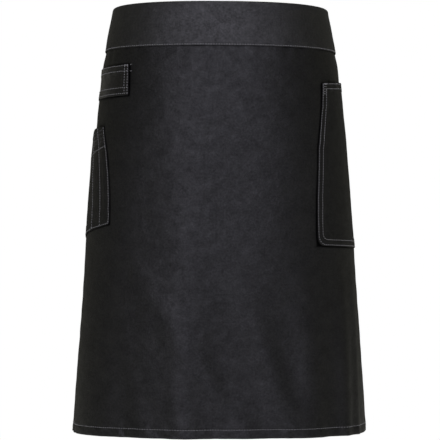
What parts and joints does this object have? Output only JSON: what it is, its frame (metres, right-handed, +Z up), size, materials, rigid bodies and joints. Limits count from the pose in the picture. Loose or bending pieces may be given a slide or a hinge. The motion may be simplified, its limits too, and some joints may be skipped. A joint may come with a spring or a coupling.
{
  "type": "waist apron",
  "caption": "Mid-length black waist apron in worn form, with a folded waistband, towel loop, pen pocket, hip pocket, hemmed skirt and ties knotted at the back",
  "frame": {"origin": "The middle of the waist opening, halfway up the waistband, where the wearer's waist carries the apron.", "axes": "+Z is up, -Y is the front of the apron and +X is the wearer's left, which is on the viewer's right."},
  "size_m": [0.3505, 0.2302, 0.5052],
  "materials": {
    "panel_cloth": "black waxed cotton twill with a soft sheen and a mottled wax bloom",
    "band_cloth": "the same black waxed cotton, folded double, a little lighter along its edges",
    "pocket_cloth": "black waxed cotton with light grey topstitching",
    "tie_cloth": "black cotton twill strap, matt"
  },
  "bodies": {
    "root": {"apron_panel": "panel_cloth", "waistband": "band_cloth", "towel_loop": "pocket_cloth", "pen_pocket": "pocket_cloth", "hip_pocket": "pocket_cloth", "waist_tie_left": "tie_cloth", "waist_tie_right": "tie_cloth", "tie_knot": "tie_cloth"}
  },
  "joints": []
}
